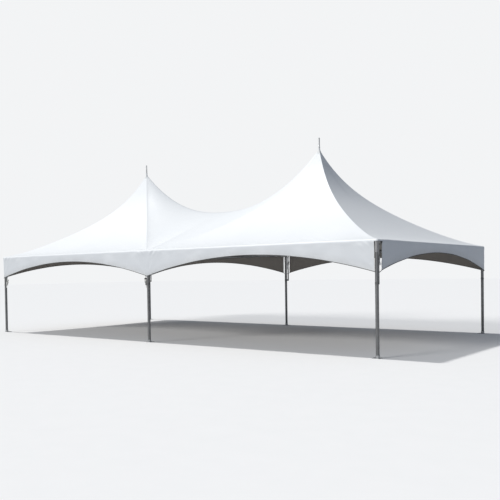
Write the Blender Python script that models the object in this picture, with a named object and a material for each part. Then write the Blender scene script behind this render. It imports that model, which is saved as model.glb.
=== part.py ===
"""Two-bay high-peak marquee tent on a tube frame, six legs, two masts.

Frame: +Z up, metres, origin on the ground at the middle of the plan.
+X runs along the long sides, the long side at -Y is the front.
"""
import math

import bmesh
import bpy
from mathutils import Matrix, Vector

# Driving dimensions
BAY = 6.096                   # one square bay, from fabric face to fabric face
HALF_BAY = BAY / 2
HALF_LENGTH = BAY             # outer faces of the fabric at both ends
HALF_WIDTH = HALF_BAY         # outer faces of the fabric on the long sides
EAVE_TOP = 2.240              # top of the fabric where it folds over the eave
APEX = 4.700                  # fabric height where it meets the mast
SADDLE = 3.350                # lowest point of the ridge between the peaks
RIDGE_SAG = 2.3                # how deep the ridge hangs between the peaks
SADDLE_ROUNDING = 1.15         # rounds the ridge of the saddle
SADDLE_FLARE = 1.15            # flattens the saddle at the eave
FINIAL_TOP = 4.985            # tip of each mast
SHEET = 0.006                 # thickness that stands for the coated fabric
GAP = 0.0003                  # clearance between pieces that touch

# Frame tube and fittings
TUBE_RADIUS = 0.035
SLEEVE_RADIUS = 0.041
SLEEVE_REACH = 0.200          # from the node point to the end of each sleeve
SLEEVE_STEP = 0.0007          # each further sleeve is this much slimmer
KNUCKLE_RADIUS = 0.0405       # rounds the outer side of the elbow
LUG_REACH = 0.110             # cable lug, from the node point
LUG_WIDTH = 0.014
LUG_HEIGHT = 0.040
LUG_DROP = 0.030              # lug centre below the tube axis
FABRIC_CLEARANCE = 0.001
TUBE_Z = EAVE_TOP - SHEET - FABRIC_CLEARANCE - SLEEVE_RADIUS
AXIS_X = HALF_LENGTH - SHEET - FABRIC_CLEARANCE - SLEEVE_RADIUS
AXIS_Y = HALF_WIDTH - SHEET - FABRIC_CLEARANCE - SLEEVE_RADIUS
ROUND_SIDES = 16

# Feet
PLATE_SIZE = 0.150
PLATE_THICKNESS = 0.008
PLATE_INSET = 0.030           # plates lie this far inward of their legs
BOSS_RADIUS = 0.041
BOSS_HEIGHT = 0.060

# Masts and cables
MAST_RADIUS = 0.024
FINIAL_RADIUS = 0.019
HUB_RADIUS = 0.070
HUB_TOP = 2.110
HUB_THICKNESS = 0.036
CABLE_RADIUS = 0.005
CABLE_SIDES = 8
CABLE_OVERLAP = 0.020         # cable length buried in the hub before fusing

# Canopy
RING = 0.0135                 # the fabric stops this share of a half bay from the mast
SEAM = 0.0010                 # gap between neighbouring panels at a hip
PANEL_ROWS = 14
PANEL_COLUMNS = 8
ROW_POWER = 1.9               # rows crowd towards the steep peak

# Valance
VALANCE_MIDDLE = 0.215        # depth below the eave in the middle of a bay
VALANCE_TIP = 0.630           # depth below the eave at a leg
FRONT_SLIT = 0.070            # the open near corner, along the front
RIGHT_SLIT = 0.150            # the open near corner, along the right end
BACK_SLIT = 0.150             # the open far corner, along the back
LEFT_SLIT = 0.100             # the open far corner, along the left end
MIDDLE_SLIT = 0.100           # the open slit at the back middle leg, each side of it
CORNER_LAP = SHEET + GAP      # end valances stop short by this at closed corners
VALANCE_STEPS = 12            # columns in one bay

# Tie-down straps, from the eave sleeve down to a band round the leg
STRAP_WIDTH = 0.045
STRAP_THICKNESS = 0.004
STRAP_OFFSET = 0.085          # tape centre, from the leg axis
STRAP_TOP = TUBE_Z - SLEEVE_RADIUS - GAP
STRAP_BOTTOM = 1.390
BAND_HEIGHT = 0.045
RATCHET_WIDTH = 0.060
RATCHET_DEPTH = 0.036
RATCHET_HEIGHT = 0.110
RATCHET_LOW = 1.500           # middle of a ratchet that hangs under the valance
RATCHET_HIGH = 1.930          # middle of a ratchet behind the valance

LEG_SPOTS = {
    "front_left": (-1, -1),
    "front_middle": (0, -1),
    "front_right": (1, -1),
    "back_right": (1, 1),
    "back_middle": (0, 1),
    "back_left": (-1, 1),
}
STRAPS = {
    "front_left": ((1, 0), RATCHET_LOW),
    "front_middle": ((-1, 0), RATCHET_LOW),
    "front_right": ((0, 1), RATCHET_HIGH),
    "back_right": ((0, -1), RATCHET_HIGH),
    "back_middle": ((1, 0), RATCHET_HIGH),
    "back_left": ((1, 0), RATCHET_HIGH),
}


def clear_scene():
    for item in list(bpy.data.objects):
        bpy.data.objects.remove(item, do_unlink=True)


def make_material(name, colour, roughness, metallic=0.0):
    material = bpy.data.materials.new(name)
    material.use_nodes = True
    shader = material.node_tree.nodes["Principled BSDF"]
    shader.inputs["Base Color"].default_value = (*colour, 1.0)
    shader.inputs["Roughness"].default_value = roughness
    shader.inputs["Metallic"].default_value = metallic
    return material


def add_object(name, bm, smooth=False):
    bmesh.ops.recalc_face_normals(bm, faces=bm.faces)
    mesh = bpy.data.meshes.new(name)
    bm.to_mesh(mesh)
    bm.free()
    if smooth:
        mesh.shade_smooth()
        mesh.set_sharp_from_angle(angle=math.radians(40))
    item = bpy.data.objects.new(name, mesh)
    bpy.context.collection.objects.link(item)
    return item


def finish(item, colour, roughness, metallic=0.0):
    item.data.materials.clear()
    item.data.materials.append(make_material(item.name + "_finish", colour, roughness, metallic))
    return item


def aluminium(item):
    return finish(item, (0.42, 0.43, 0.44), 0.38, 1.0)


def steel(item):
    return finish(item, (0.46, 0.47, 0.48), 0.45, 1.0)


def vinyl(item):
    return finish(item, (0.86, 0.87, 0.88), 0.45)


def rod(name, start, end, radius, sides=ROUND_SIDES, spin=0.0):
    """A round bar from start to end, its facets turned by spin."""
    start, end = Vector(start), Vector(end)
    axis = end - start
    bm = bmesh.new()
    bmesh.ops.create_cone(
        bm, cap_ends=True, segments=sides, radius1=radius, radius2=radius, depth=axis.length)
    turn = axis.to_track_quat("Z", "Y").to_matrix().to_4x4() @ Matrix.Rotation(spin, 4, "Z")
    bmesh.ops.transform(bm, matrix=Matrix.Translation((start + end) / 2) @ turn, verts=bm.verts)
    return add_object(name, bm, smooth=True)


def block(name, centre, size, turn=0.0):
    """A box turned about the vertical through its centre."""
    bm = bmesh.new()
    bmesh.ops.create_cube(bm, size=1.0)
    bmesh.ops.scale(bm, vec=size, verts=bm.verts)
    place = Matrix.Translation(centre) @ Matrix.Rotation(turn, 4, "Z")
    bmesh.ops.transform(bm, matrix=place, verts=bm.verts)
    return add_object(name, bm)


def ball(name, centre, radius):
    bm = bmesh.new()
    bmesh.ops.create_uvsphere(bm, u_segments=ROUND_SIDES, v_segments=ROUND_SIDES // 2, radius=radius)
    bmesh.ops.translate(bm, vec=centre, verts=bm.verts)
    return add_object(name, bm, smooth=True)


def fuse(name, pieces):
    """Join overlapping pieces into one closed body."""
    body = pieces[0]
    for other in pieces[1:]:
        union = body.modifiers.new("join", "BOOLEAN")
        union.operation = "UNION"
        union.solver = "EXACT"
        union.object = other
    bpy.context.view_layer.update()
    graph = bpy.context.evaluated_depsgraph_get()
    mesh = bpy.data.meshes.new_from_object(body.evaluated_get(graph))
    mesh.name = name
    for piece in pieces:
        bpy.data.objects.remove(piece, do_unlink=True)
    mesh.shade_smooth()
    mesh.set_sharp_from_angle(angle=math.radians(40))
    item = bpy.data.objects.new(name, mesh)
    bpy.context.collection.objects.link(item)
    return item


def turned(name, centre, profile):
    """A closed body turned about a vertical axis, from (radius, height) points, top to bottom."""
    bm = bmesh.new()
    rings = []
    for radius, height in profile:
        ring = []
        for step in range(ROUND_SIDES):
            angle = 2 * math.pi * step / ROUND_SIDES
            ring.append(bm.verts.new((
                centre[0] + radius * math.cos(angle),
                centre[1] + radius * math.sin(angle),
                height)))
        rings.append(ring)
    for upper, lower in zip(rings, rings[1:]):
        for step in range(ROUND_SIDES):
            after = (step + 1) % ROUND_SIDES
            bm.faces.new((upper[step], lower[step], lower[after], upper[after]))
    bm.faces.new(rings[0])
    bm.faces.new(list(reversed(rings[-1])))
    return add_object(name, bm, smooth=True)


def band(name, centre, inner, outer, height):
    """A flat ring round a vertical axis, centred on a point."""
    bm = bmesh.new()
    rings = []
    for radius, lift in ((outer, 0.5), (outer, -0.5), (inner, -0.5), (inner, 0.5)):
        ring = []
        for step in range(ROUND_SIDES):
            angle = 2 * math.pi * step / ROUND_SIDES
            ring.append(bm.verts.new((
                centre[0] + radius * math.cos(angle),
                centre[1] + radius * math.sin(angle),
                centre[2] + lift * height)))
        rings.append(ring)
    for here, there in zip(rings, rings[1:] + rings[:1]):
        for step in range(ROUND_SIDES):
            after = (step + 1) % ROUND_SIDES
            bm.faces.new((here[step], there[step], there[after], here[after]))
    return add_object(name, bm)


def peak_fall(share):
    """Height of the fabric over the eave, 1 at the mast and 0 at the eave."""
    return 0.72 * (1 - share) ** 1.35 + 0.28 * (1 - share) ** 7


def canopy_height(x, y):
    """Top of the fabric over a point of the plan."""
    outward = (abs(x) - HALF_BAY) / HALF_BAY
    across = min(abs(y) / HALF_BAY, 1.0)
    rise = APEX - EAVE_TOP
    if outward >= 0:
        return EAVE_TOP + rise * peak_fall(min(max(outward, across), 1.0))
    inward = min(-outward, 1.0)
    if across >= inward:
        return EAVE_TOP + rise * peak_fall(across)
    hip = EAVE_TOP + rise * peak_fall(inward)
    ridge = SADDLE + (APEX - SADDLE) * (1 - inward) ** RIDGE_SAG
    return hip + (ridge - hip) * (1 - (across / inward) ** SADDLE_ROUNDING) ** SADDLE_FLARE


def shell(name, grid):
    """A closed sheet from a grid of top points, thickened downwards."""
    bm = bmesh.new()
    top = [[bm.verts.new(point) for point in row] for row in grid]
    low = [[bm.verts.new((p[0], p[1], p[2] - SHEET)) for p in row] for row in grid]
    rows, columns = len(grid), len(grid[0])
    for i in range(rows - 1):
        for j in range(columns - 1):
            bm.faces.new((top[i][j], top[i][j + 1], top[i + 1][j + 1], top[i + 1][j]))
            bm.faces.new((low[i + 1][j], low[i + 1][j + 1], low[i][j + 1], low[i][j]))
    rim = [(0, j) for j in range(columns)]
    rim += [(i, columns - 1) for i in range(1, rows)]
    rim += [(rows - 1, j) for j in range(columns - 2, -1, -1)]
    rim += [(i, 0) for i in range(rows - 2, 0, -1)]
    for (a, b), (c, d) in zip(rim, rim[1:] + rim[:1]):
        bm.faces.new((top[a][b], low[a][b], low[c][d], top[c][d]))
    bmesh.ops.triangulate(bm, faces=bm.faces)
    return add_object(name, bm, smooth=True)


def panel_rows():
    """Distances from the mast as shares of a half bay."""
    for step in range(PANEL_ROWS + 1):
        yield RING + (1 - RING) * (step / PANEL_ROWS) ** ROW_POWER


def slope_panel(name, bay_x, outward):
    """One slope of a peak, from the mast to the eave, between two hips."""
    outward = Vector(outward)
    along = Vector((-outward.y, outward.x))
    grid = []
    for share in panel_rows():
        reach = share * HALF_BAY
        half = reach - SEAM
        row = []
        for step in range(PANEL_COLUMNS + 1):
            side = half * (2 * step / PANEL_COLUMNS - 1)
            x = bay_x + outward.x * reach + along.x * side
            y = outward.y * reach + along.y * side
            row.append((x, y, canopy_height(x, y)))
        grid.append(row)
    return vinyl(shell(name, grid))


def saddle_panel(name, side):
    """Half of the saddle between the masts, from the ridge down to the middle leg."""
    shares = list(panel_rows())
    stations = [HALF_BAY * (1 - share) for share in shares]
    stations = stations + [-x for x in reversed(stations[:-1])]
    grid = []
    for step in range(PANEL_COLUMNS + 1):
        row = []
        for x in stations:
            inward = HALF_BAY - abs(x)
            y = side * (SEAM + (inward - 2 * SEAM) * step / PANEL_COLUMNS)
            row.append((x, y, canopy_height(x, y)))
        grid.append(row)
    return vinyl(shell(name, grid))


def valance_depth(share):
    """Depth of the valance at a place along a bay, share -1 to 1 from leg to leg."""
    return VALANCE_MIDDLE + (VALANCE_TIP - VALANCE_MIDDLE) * share ** 2


def valance(name, outward, first, last, first_slit, last_slit):
    """The apron that hangs from the eave on one side, arched in each bay.

    It runs from first to last, in half bays from the middle of its side,
    and stops short of them by first_slit and last_slit.
    """
    outward = Vector(outward)
    along = Vector((-outward.y, outward.x))
    reach = HALF_LENGTH if outward.x else HALF_WIDTH
    count = VALANCE_STEPS * (last - first) // 2
    top = EAVE_TOP - SHEET - GAP
    bm = bmesh.new()
    columns = []
    for step in range(count + 1):
        place = first + 2 * step / VALANCE_STEPS
        share = 2 * ((place - first) / 2 % 1) - 1 if step < count else 1
        low = EAVE_TOP - valance_depth(share)
        run = max(first * HALF_BAY + first_slit, min(last * HALF_BAY - last_slit, place * HALF_BAY))
        points = []
        for depth, height in ((0.0, top), (SHEET, top), (SHEET, low), (0.0, low)):
            points.append(bm.verts.new((
                outward.x * (reach - depth) + along.x * run,
                outward.y * (reach - depth) + along.y * run,
                height)))
        columns.append(points)
    for left, right in zip(columns, columns[1:]):
        for a in range(4):
            b = (a + 1) % 4
            bm.faces.new((left[a], left[b], right[b], right[a]))
    bm.faces.new(columns[0])
    bm.faces.new(list(reversed(columns[-1])))
    return vinyl(add_object(name, bm))


def node_point(spot):
    return Vector((spot[0] * AXIS_X, spot[1] * AXIS_Y, TUBE_Z))


def foot(place, spot):
    point = node_point(spot)
    centre = (point.x - spot[0] * PLATE_INSET, point.y - spot[1] * PLATE_INSET, PLATE_THICKNESS / 2)
    plate = block("plate", centre, (PLATE_SIZE, PLATE_SIZE, PLATE_THICKNESS))
    low = (point.x, point.y, PLATE_THICKNESS / 2)
    boss = rod("boss", low, (point.x, point.y, BOSS_HEIGHT), BOSS_RADIUS)
    return steel(fuse("base_plate_" + place, [plate, boss]))


def leg(place, spot):
    point = node_point(spot)
    low = (point.x, point.y, BOSS_HEIGHT + GAP)
    high = (point.x, point.y, TUBE_Z - SLEEVE_REACH - GAP)
    return aluminium(rod("leg_" + place, low, high, TUBE_RADIUS))


def sleeve_runs(spot):
    """Each sleeve of a fitting as the two shares of its reach where it starts and ends."""
    x, y = spot
    along = (Vector((-x, 0, 0)), 0, 1) if x else (Vector((1, 0, 0)), -1, 1)
    return [along, (Vector((0, -y, 0)), 0, 1), (Vector((0, 0, -1)), 0, 1)]


def lug_directions(spot):
    """Ways in which mast cables leave a fitting."""
    x, y = spot
    ways = [-x] if x else [-1, 1]
    return [Vector((way, -y, 0)).normalized() for way in ways]


def fitting(place, spot):
    point = node_point(spot)
    pieces = [ball("knuckle", point, KNUCKLE_RADIUS)]
    for order, (way, first, last) in enumerate(sleeve_runs(spot)):
        start = point + way * SLEEVE_REACH * first
        end = point + way * SLEEVE_REACH * last
        pieces.append(rod("sleeve", start, end, SLEEVE_RADIUS - order * SLEEVE_STEP))
    for way in lug_directions(spot):
        middle = point + way * LUG_REACH / 2 - Vector((0, 0, LUG_DROP))
        pieces.append(block("lug", middle, (LUG_REACH, LUG_WIDTH, LUG_HEIGHT), math.atan2(way.y, way.x)))
    return aluminium(fuse("eave_fitting_" + place, pieces))


def eave_tube(name, start, end):
    start, end = node_point(start), node_point(end)
    way = (end - start).normalized() * (SLEEVE_REACH + GAP)
    return aluminium(rod(name, start + way, end - way, TUBE_RADIUS))


def mast(name, bay_x):
    profile = [
        (0.006, FINIAL_TOP),
        (FINIAL_RADIUS * 0.75, FINIAL_TOP - 0.006),
        (FINIAL_RADIUS, FINIAL_TOP - 0.018),
        (FINIAL_RADIUS, APEX - 0.060),
        (MAST_RADIUS, APEX - 0.080),
        (MAST_RADIUS, HUB_TOP + GAP),
    ]
    return aluminium(turned(name, (bay_x, 0), profile))


def cable_set(name, bay_x):
    """Four taut cables from the fittings to the hub that carries the mast."""
    hub_middle = Vector((bay_x, 0, HUB_TOP - HUB_THICKNESS / 2))
    low = hub_middle - Vector((0, 0, HUB_THICKNESS / 2))
    high = hub_middle + Vector((0, 0, HUB_THICKNESS / 2))
    pieces = [rod("hub", low, high, HUB_RADIUS, spin=math.pi / ROUND_SIDES)]
    for x in (0, round(bay_x / HALF_BAY)):
        for y in (-1, 1):
            point = node_point((x, y))
            way = Vector((bay_x - point.x, -y * AXIS_Y, 0)).normalized()
            lug = min(lug_directions((x, y)), key=lambda other: (other - way).length)
            end = point + lug * (LUG_REACH + GAP) - Vector((0, 0, LUG_DROP))
            start = hub_middle + Vector((-way.x, -way.y, 0)) * (HUB_RADIUS - CABLE_OVERLAP)
            pieces.append(rod("cable", start, end, CABLE_RADIUS, CABLE_SIDES))
    return steel(fuse(name, pieces))


def strap(place, spot):
    """Webbing tape with its ratchet beside a leg, held by a band round the leg."""
    point = node_point(spot)
    side, ratchet_height = STRAPS[place]
    way = Vector((*side, 0))
    turn = math.atan2(way.y, way.x)

    def at(reach, height):
        return Vector((point.x, point.y, height)) + way * reach

    length = STRAP_TOP - STRAP_BOTTOM
    tape = block(
        "tape", at(STRAP_OFFSET, STRAP_BOTTOM + length / 2),
        (STRAP_WIDTH, STRAP_THICKNESS, length), turn)
    body = block(
        "body", at(STRAP_OFFSET, ratchet_height),
        (RATCHET_WIDTH, RATCHET_DEPTH, RATCHET_HEIGHT), turn)
    inner = TUBE_RADIUS + GAP
    outer = inner + STRAP_THICKNESS
    low = STRAP_BOTTOM + BAND_HEIGHT / 2
    ring = band("ring", at(0, low), inner, outer, BAND_HEIGHT)
    tail_start = (inner + outer) / 2
    tail = block(
        "tail", at((tail_start + STRAP_OFFSET) / 2, low),
        (STRAP_OFFSET - tail_start, 2 * STRAP_THICKNESS, BAND_HEIGHT * 0.8), turn)
    return finish(fuse("tie_down_strap_" + place, [tape, body, tail, ring]), (0.80, 0.80, 0.78), 0.7)


def build_frame():
    for place, spot in LEG_SPOTS.items():
        foot(place, spot)
        leg(place, spot)
        fitting(place, spot)
        strap(place, spot)
    eave_tube("eave_tube_front_left", (-1, -1), (0, -1))
    eave_tube("eave_tube_front_right", (0, -1), (1, -1))
    eave_tube("eave_tube_back_left", (-1, 1), (0, 1))
    eave_tube("eave_tube_back_right", (0, 1), (1, 1))
    eave_tube("eave_tube_left_end", (-1, -1), (-1, 1))
    eave_tube("eave_tube_right_end", (1, -1), (1, 1))
    eave_tube("middle_cross_tube", (0, -1), (0, 1))


def build_masts():
    for place, side in (("left", -1), ("right", 1)):
        mast("mast_" + place, side * HALF_BAY)
        cable_set("mast_cables_" + place, side * HALF_BAY)


def build_canopy():
    for place, side in (("left", -1), ("right", 1)):
        bay_x = side * HALF_BAY
        slope_panel("canopy_front_" + place, bay_x, (0, -1))
        slope_panel("canopy_back_" + place, bay_x, (0, 1))
        slope_panel("canopy_end_" + place, bay_x, (side, 0))
    saddle_panel("canopy_saddle_front", -1)
    saddle_panel("canopy_saddle_back", 1)
    valance("valance_front", (0, -1), -2, 2, 0, FRONT_SLIT)
    valance("valance_back_right", (0, 1), -2, 0, 0, MIDDLE_SLIT)
    valance("valance_back_left", (0, 1), 0, 2, MIDDLE_SLIT, BACK_SLIT)
    valance("valance_left_end", (-1, 0), -1, 1, LEFT_SLIT, CORNER_LAP)
    valance("valance_right_end", (1, 0), -1, 1, RIGHT_SLIT, CORNER_LAP)


def main():
    clear_scene()
    build_frame()
    build_masts()
    build_canopy()


main()
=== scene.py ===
# %% [markdown]
# # Two-bay high-peak marquee tent
#
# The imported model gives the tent's frame: six legs, eave tubes, fittings, two masts and their
# cables. This script dresses it. The coated fabric becomes one continuous sheet with its folds,
# slits and hem, the straps get their ratchets, the metal gets its finish, and the whole is lit and
# seen from the photograph's side. Every length is in metres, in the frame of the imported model.

# %% Frame
import math
import random

import bpy
import bmesh
from mathutils import Matrix, Vector


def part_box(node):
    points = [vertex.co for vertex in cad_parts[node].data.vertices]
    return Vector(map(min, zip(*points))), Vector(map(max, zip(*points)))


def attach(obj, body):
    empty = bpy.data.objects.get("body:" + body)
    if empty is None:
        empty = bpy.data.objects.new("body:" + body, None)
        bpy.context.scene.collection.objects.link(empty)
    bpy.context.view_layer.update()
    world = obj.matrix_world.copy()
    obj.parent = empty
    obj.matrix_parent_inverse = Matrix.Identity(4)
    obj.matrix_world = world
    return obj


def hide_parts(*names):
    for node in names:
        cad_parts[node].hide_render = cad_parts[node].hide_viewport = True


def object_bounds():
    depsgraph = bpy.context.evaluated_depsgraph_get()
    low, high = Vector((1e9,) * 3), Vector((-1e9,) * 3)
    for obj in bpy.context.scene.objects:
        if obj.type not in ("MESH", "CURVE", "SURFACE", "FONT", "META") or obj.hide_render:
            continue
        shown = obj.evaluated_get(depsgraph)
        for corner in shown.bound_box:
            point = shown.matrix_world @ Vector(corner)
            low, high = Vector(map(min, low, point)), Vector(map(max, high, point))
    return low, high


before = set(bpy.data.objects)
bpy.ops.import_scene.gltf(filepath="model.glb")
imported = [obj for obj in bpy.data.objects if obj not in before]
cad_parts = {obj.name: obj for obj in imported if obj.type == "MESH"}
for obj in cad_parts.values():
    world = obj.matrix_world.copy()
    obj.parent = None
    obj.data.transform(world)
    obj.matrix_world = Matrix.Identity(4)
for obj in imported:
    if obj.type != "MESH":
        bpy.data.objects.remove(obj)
cad_low, cad_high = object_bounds()
random.seed(7)
print("nodes:", len(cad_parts), "box:", [round(v, 3) for v in cad_high - cad_low])

# %% [markdown]
# ## Driving values
#
# The solids already say where everything is, so sizes are read from them: the box of the whole
# model gives the plan, the legs give their own places and the eave tube its height. Only the
# fabric's curve is repeated here as a formula, with its heights as given numbers, because the sheet
# is made finer than the solids and has to lie in the same space.

# %% Sizes read from the frame
HALF_LENGTH = cad_high.x                      # outer face of the fabric at the ends
HALF_WIDTH = cad_high.y                       # outer face of the fabric on the long sides
HALF_BAY = HALF_LENGTH / 2
MAST_X = HALF_BAY                             # each mast stands in the middle of its bay
APEX = 4.700                                  # fabric height at the mast
EAVE = 2.240                                  # fabric height at the eave
SADDLE = 3.350                                # lowest point of the ridge between the peaks
VALANCE_MIDDLE = 0.215                        # depth of the valance in the middle of a bay
VALANCE_TIP = 0.630                           # and at a leg
LEGS = {
    place: Vector(((low.x + high.x) / 2, (low.y + high.y) / 2, 0))
    for place in ("front_left", "front_middle", "front_right", "back_right", "back_middle", "back_left")
    for low, high in [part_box("leg_" + place)]
}
TUBE_Z = (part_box("eave_tube_left_end")[0].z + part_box("eave_tube_left_end")[1].z) / 2
print("eave tube at", round(TUBE_Z, 3))


# %% The fabric's curve
def peak_fall(share):
    """Height of the fabric over the eave, 1 at the mast and 0 at the eave."""
    return 0.72 * (1 - share) ** 1.35 + 0.28 * (1 - share) ** 7


def canopy_height(x, y):
    """Top of the fabric over a point of the plan."""
    outward = (abs(x) - HALF_BAY) / HALF_BAY
    across = min(abs(y) / HALF_BAY, 1.0)
    rise = APEX - EAVE
    if outward >= 0:
        return EAVE + rise * peak_fall(min(max(outward, across), 1.0))
    inward = min(-outward, 1.0)
    if across >= inward:
        return EAVE + rise * peak_fall(across)
    hip = EAVE + rise * peak_fall(inward)
    ridge = SADDLE + (APEX - SADDLE) * (1 - inward) ** 2.3
    return hip + (ridge - hip) * (1 - (across / inward) ** 1.15) ** 1.15


def valance_depth(share):
    """Depth of the valance along a bay, share -1 to 1 from leg to leg."""
    return VALANCE_MIDDLE + (VALANCE_TIP - VALANCE_MIDDLE) * share ** 2


def smooth(value, start, end):
    """0 before start, 1 after end, and an even S between them."""
    share = min(max((value - start) / (end - start), 0.0), 1.0)
    return share * share * (3 - 2 * share)


# %% [markdown]
# ## Camera
#
# The camera stands in front of the right end, at a person's eye height, so the eave is seen from
# below and the peaks rise above it. Its place was fitted to the legs, eaves and peaks measured in
# the photograph. The small shift keeps the tent where it lies in the picture while the lens stays
# level, which keeps the legs upright.

# %% Camera
PICTURE = 500                                 # the photograph's side, in pixels
FOCAL_PIXELS = 668.9
AXIS_PIXEL = (230.0, 288.0)                   # where the lens axis meets the picture
HEADING = math.radians(-38.557)
TILT = math.radians(-1.181)
ROLL = math.radians(-0.876)
CAMERA_PLACE = Vector((11.689, -14.485, 1.622))
SENSOR = 36.0

camera_data = bpy.data.cameras.new("camera")
camera_data.sensor_width = SENSOR
camera_data.lens = FOCAL_PIXELS / PICTURE * SENSOR
camera_data.shift_x = (PICTURE / 2 - AXIS_PIXEL[0]) / PICTURE
camera_data.shift_y = (AXIS_PIXEL[1] - PICTURE / 2) / PICTURE
forward = Vector((
    math.sin(HEADING) * math.cos(TILT), math.cos(HEADING) * math.cos(TILT), math.sin(TILT)))
level_right = Vector((math.cos(HEADING), -math.sin(HEADING), 0))
level_up = level_right.cross(forward)
right = level_right * math.cos(ROLL) + level_up * math.sin(ROLL)
up = level_up * math.cos(ROLL) - level_right * math.sin(ROLL)
camera = bpy.data.objects.new("camera", camera_data)
camera.matrix_world = Matrix.Translation(CAMERA_PLACE) @ Matrix((right, up, -forward)).transposed().to_4x4()
bpy.context.scene.collection.objects.link(camera)
bpy.context.scene.camera = camera
print("lens", round(camera_data.lens, 1), "mm, shift", round(camera_data.shift_x, 3), round(camera_data.shift_y, 3))

# %% [markdown]
# ## Writing shader maths
#
# A finish is a small sum over the surface: a mask times a tint, a distance compared with a width.
# Written as Python expressions such a sum stays readable, so one class wraps a shader socket and
# turns each operator into a Math node. Any other node comes from one method of the finish.


# %% Sockets that add up
class Wire:
    """A shader socket that can stand in a Python sum; each operator adds a Math node."""

    def __init__(self, tree, socket):
        self.tree = tree
        self.socket = socket

    def maths(self, operation, *values):
        node = self.tree.nodes.new("ShaderNodeMath")
        node.operation = operation
        for socket, value in zip(node.inputs, values):
            if isinstance(value, Wire):
                self.tree.links.new(value.socket, socket)
            else:
                socket.default_value = value
        return Wire(self.tree, node.outputs[0])

    def __add__(self, other):
        return self.maths("ADD", self, other)

    def __radd__(self, other):
        return self.maths("ADD", other, self)

    def __sub__(self, other):
        return self.maths("SUBTRACT", self, other)

    def __rsub__(self, other):
        return self.maths("SUBTRACT", other, self)

    def __mul__(self, other):
        return self.maths("MULTIPLY", self, other)

    def __rmul__(self, other):
        return self.maths("MULTIPLY", other, self)

    def __truediv__(self, other):
        return self.maths("DIVIDE", self, other)

    def __abs__(self):
        return self.maths("ABSOLUTE", self)

    def __lt__(self, other):
        return self.maths("LESS_THAN", self, other)

    def __gt__(self, other):
        return self.maths("GREATER_THAN", self, other)

    def wave(self, length):
        """A sine of the value, from -1 to 1, once every length."""
        angle = self * (2 * math.pi / length)
        return angle.maths("SINE", angle)

    def repeat(self, length):
        """Distance from the nearest whole multiple of length."""
        return abs(self.maths("PINGPONG", self, length / 2))

    def near(self, width):
        """1 where the value is 0, fading to 0 at width on either side."""
        fade = 1.0 - abs(self) / width
        return fade.maths("MAXIMUM", fade, 0.0)


# %% A finish and its nodes
class Finish:
    """A material with one Principled shader and the constants set on its own sockets."""

    def __init__(self, name, **constants):
        self.material = bpy.data.materials.new(name)
        self.material.use_nodes = True
        self.tree = self.material.node_tree
        self.shader = self.tree.nodes["Principled BSDF"]
        for socket, value in constants.items():
            self.shader.inputs[socket.replace("_", " ")].default_value = value

    def node(self, kind, settings=None, values=None, output=0):
        """Any node: its type, its settings, then the values or links of its sockets."""
        node = self.tree.nodes.new(kind)
        for setting, value in (settings or {}).items():
            if setting == "stops":
                ramp = node.color_ramp.elements
                while len(ramp) < len(value):
                    ramp.new(0.5)
                for element, (place, colour) in zip(ramp, value):
                    element.position = place
                    element.color = (*colour, 1)
            else:
                setattr(node, setting, value)
        for socket, value in (values or {}).items():
            if isinstance(value, Wire):
                self.tree.links.new(value.socket, node.inputs[socket])
            else:
                node.inputs[socket].default_value = value
        return Wire(self.tree, node.outputs[output])

    def place(self):
        """The point of the surface, in metres."""
        return self.node("ShaderNodeTexCoord", output="Object")

    def axes(self):
        """Its x, y and z apart."""
        point = self.place()
        return [self.node("ShaderNodeSeparateXYZ", values={0: point}, output=i) for i in range(3)]

    def stretched(self, x, y, z):
        """The point with each axis scaled by its own factor."""
        return self.node(
            "ShaderNodeVectorMath", {"operation": "MULTIPLY"}, {0: self.place(), 1: (x, y, z)})

    def cloud(self, scale, detail=2.0, vector=None):
        """Soft noise from 0 to 1; scale is blotches in a metre."""
        return self.node(
            "ShaderNodeTexNoise", {"noise_dimensions": "3D"},
            {"Vector": vector or self.place(), "Scale": scale, "Detail": detail})

    def mix(self, factor, first, second):
        """Colour first where the factor is 0, and second where it is 1."""
        values = {0: factor, 6: self.colour(first), 7: self.colour(second)}
        return self.node("ShaderNodeMix", {"data_type": "RGBA", "clamp_factor": True}, values, 2)

    def colour(self, value):
        return value if isinstance(value, Wire) else (*value, 1)

    def paint(self, socket, wire):
        self.tree.links.new(wire.socket, self.shader.inputs[socket])

    def bump(self, height, distance, strength=1.0):
        """Relief from a height of 0 to 1, distance metres deep."""
        values = {"Height": height, "Distance": distance, "Strength": strength}
        self.paint("Normal", self.node("ShaderNodeBump", None, values))


# %% [markdown]
# ## White coated fabric
#
# The roof is polyester scrim coated with PVC. It is nearly white, with a faint cold tint, and it
# shines softly like paper. Lengths of it are welded side by side, and the weld shows as a slightly
# denser band because two layers lie over each other. Seen close up there is the fine square of the
# scrim. The inner side never sees the sky, so it gets a finish of its own: a dark taupe that is
# painted shade, the shadow under the roof put into its colour.

# %% Fabric finish
WELD_WIDTH = 0.038                            # overlap of two lengths of fabric
ROLL_WIDTH = 1.524                            # from weld to weld
SCRIM = 0.0028                                # from thread to thread


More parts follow.
